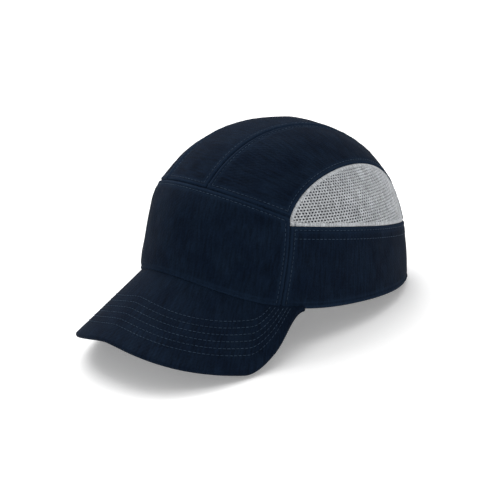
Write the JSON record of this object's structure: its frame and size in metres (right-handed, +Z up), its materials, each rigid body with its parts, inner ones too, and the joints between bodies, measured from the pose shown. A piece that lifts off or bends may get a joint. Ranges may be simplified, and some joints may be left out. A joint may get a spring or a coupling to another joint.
{
  "type": "bump cap",
  "caption": "Soft baseball-style cap with a stiff curved peak, mesh side vents and a rear strap over a lift-out hard shell with foam pads.",
  "frame": {"origin": "centre of the footprint on the surface that the cap rests on, under the peak's corners and the rear rim", "axes": "+Z up, -Y towards the peak, +X towards the wearer's left; the cap is tipped back as it lies on a table"},
  "size_m": [0.186, 0.2746, 0.1482],
  "materials": {
    "cotton_twill": "brushed navy cotton twill",
    "air_mesh": "light grey air mesh",
    "binding_tape": "navy woven tape",
    "strap_webbing": "navy webbing",
    "loop_pile": "soft loop pile",
    "hook_tape": "fine moulded hooks",
    "label_satin": "blank white satin",
    "peak_board": "satin moulded board",
    "shell_plastic": "semi-gloss moulded black",
    "liner_foam": "closed-cell foam",
    "sweatband_terry": "short terry towelling",
    "stud_plastic": "moulded black"
  },
  "bodies": {
    "insert": {"hard_shell": "shell_plastic", "crown_pad": "liner_foam", "front_pad": "liner_foam", "rear_pad": "liner_foam", "side_pad_left": "liner_foam", "side_pad_right": "liner_foam", "brow_band_sleeve": "sweatband_terry", "brow_band_core": "liner_foam", "band_studs": "stud_plastic"},
    "cover": {"front_panel": "cotton_twill", "crown_strip": "cotton_twill", "crown_panel_left": "cotton_twill", "crown_panel_right": "cotton_twill", "rear_band_left": "cotton_twill", "rear_band_right": "cotton_twill", "vent_mesh_left": "air_mesh", "vent_mesh_right": "air_mesh", "strip_seam_tapes": "binding_tape", "vent_tape_left": "binding_tape", "vent_tape_right": "binding_tape", "rim_facing": "binding_tape", "rear_opening_binding": "binding_tape", "loop_tab": "strap_webbing", "loop_patch": "loop_pile", "hook_tab_anchor": "strap_webbing", "care_label": "label_satin", "peak_board": "peak_board", "peak_top_cloth": "cotton_twill", "peak_bottom_cloth": "cotton_twill"},
    "strap": {"hook_tab": "strap_webbing", "hook_patch": "hook_tape"}
  },
  "joints": [
    {"name": "cover_lift", "type": "slide", "parent": "insert", "child": "cover", "axis": [0, 0.1645, 0.9864], "range_m": [0, 0.15]},
    {"name": "strap_peel", "type": "hinge", "parent": "cover", "child": "strap", "pos_m": [-0.0334, 0.12677, 0.01043], "axis": [0, 0.1891, 0.982], "range_deg": [0, 100]}
  ]
}
